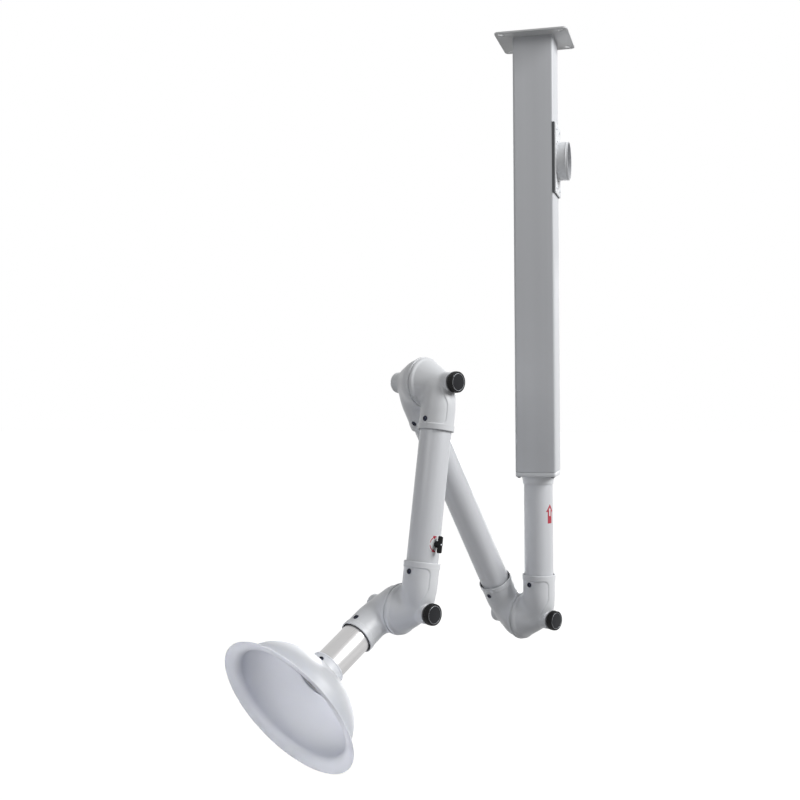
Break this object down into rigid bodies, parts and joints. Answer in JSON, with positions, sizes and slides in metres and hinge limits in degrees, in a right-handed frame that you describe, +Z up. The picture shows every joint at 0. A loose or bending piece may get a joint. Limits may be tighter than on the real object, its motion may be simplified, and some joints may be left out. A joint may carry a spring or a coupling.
{
  "type": "fume extraction arm",
  "caption": "Ceiling-hung fume extraction arm: square column with duct spigot, swivelling drop tube, two tubes on friction elbow joints with clamping knobs, damper and bowl-shaped hood.",
  "frame": {"origin": "middle of the ceiling plate's top face, on the column's axis", "axes": "+Z up out of the ceiling plate, +X along the duct spigot's axis out of the column, arm shown swung to one side"},
  "size_m": [0.7259, 0.8471, 1.7626],
  "materials": {
    "painted_steel": "light grey paint, satin",
    "coated_aluminium": "pale silver-grey coating, satin",
    "bare_aluminium": "bare, drawn, fine brushed",
    "white_plastic": "moulded, satin",
    "black_plastic": "moulded, satin",
    "black_rubber": "matt",
    "dark_steel": "blackened",
    "bright_steel": "polished",
    "milky_plastic": "milky, slightly translucent, glossy"
  },
  "bodies": {
    "mount": {"ceiling_plate": "painted_steel", "column": "coated_aluminium", "duct_gasket": "black_rubber", "duct_adaptor": "white_plastic", "duct_screw_1": "bright_steel", "duct_screw_2": "bright_steel", "duct_screw_3": "bright_steel", "duct_screw_4": "bright_steel", "end_cap": "white_plastic", "swivel_bush": "white_plastic", "plate_screw_1": "dark_steel", "plate_screw_2": "dark_steel", "plate_screw_3": "dark_steel", "plate_screw_4": "dark_steel", "cap_screw_1": "dark_steel", "cap_screw_2": "dark_steel", "cap_screw_3": "dark_steel", "cap_screw_4": "dark_steel"},
    "drop": {"drop_tube": "coated_aluminium", "retaining_ring": "white_plastic", "drop_elbow": "white_plastic", "drop_tube_seal": "black_rubber", "drop_collar_screw": "bright_steel", "base_joint_washer": "black_rubber"},
    "rear_arm": {"rear_lower_elbow": "white_plastic", "rear_lower_tube_seal": "black_rubber", "rear_lower_collar_screw": "bright_steel", "rear_tube": "coated_aluminium", "rear_upper_elbow": "white_plastic", "rear_upper_tube_seal": "black_rubber", "rear_upper_collar_screw": "bright_steel", "base_joint_seal": "black_rubber", "base_joint_stud": "dark_steel", "middle_joint_seal": "black_rubber", "middle_joint_stud": "dark_steel"},
    "front_arm": {"front_upper_elbow": "white_plastic", "front_upper_tube_seal": "black_rubber", "front_upper_collar_screw": "bright_steel", "front_tube": "coated_aluminium", "front_lower_elbow": "white_plastic", "front_lower_tube_seal": "black_rubber", "front_lower_collar_screw": "bright_steel", "middle_joint_washer": "black_rubber", "hood_joint_washer": "black_rubber"},
    "damper": {"damper_blade": "bare_aluminium", "damper_handle": "black_plastic", "damper_clip": "dark_steel"},
    "hood_head": {"hood_elbow": "white_plastic", "hood_tube_seal": "black_rubber", "hood_collar_screw": "bright_steel", "hood_tube": "bare_aluminium", "hood_bowl": "milky_plastic", "hood_collar": "white_plastic", "hood_nut": "white_plastic", "hood_screw": "bright_steel", "hood_joint_seal": "black_rubber", "hood_joint_stud": "dark_steel"},
    "base_knob": {"base_joint_knob": "black_plastic"},
    "middle_knob": {"middle_joint_knob": "black_plastic"},
    "hood_knob": {"hood_joint_knob": "black_plastic"}
  },
  "joints": [
    {"name": "arm_swivel", "type": "hinge", "parent": "mount", "child": "drop", "pos_m": [0, 0, -1.129], "axis": [0, 0, 1], "continuous": true},
    {"name": "base_joint", "type": "hinge", "parent": "drop", "child": "rear_arm", "pos_m": [-0.04373, 0.02424, -1.508], "axis": [0.8746, -0.4848, 0], "range_deg": [-11.5, 100]},
    {"name": "middle_joint", "type": "hinge", "parent": "rear_arm", "child": "front_arm", "pos_m": [-0.22738, -0.30708, -0.88984], "axis": [-0.8746, 0.4848, 0], "range_deg": [-13, 134]},
    {"name": "hood_joint", "type": "hinge", "parent": "front_arm", "child": "hood_head", "pos_m": [-0.27059, -0.38503, -1.42243], "axis": [-0.8746, 0.4848, 0], "range_deg": [-80, 75]},
    {"name": "damper_turn", "type": "hinge", "parent": "front_arm", "child": "damper", "pos_m": [-0.21406, -0.38617, -1.26463], "axis": [0.8746, -0.4848, 0], "range_deg": [0, 90]},
    {"name": "base_knob_turn", "type": "hinge", "parent": "drop", "child": "base_knob", "pos_m": [0.04198, -0.02327, -1.508], "axis": [0.8746, -0.4848, 0], "continuous": true},
    {"name": "middle_knob_turn", "type": "hinge", "parent": "front_arm", "child": "middle_knob", "pos_m": [-0.14167, -0.35459, -0.88984], "axis": [0.8746, -0.4848, 0], "continuous": true},
    {"name": "hood_knob_turn", "type": "hinge", "parent": "front_arm", "child": "hood_knob", "pos_m": [-0.18488, -0.43254, -1.42243], "axis": [0.8746, -0.4848, 0], "continuous": true}
  ]
}
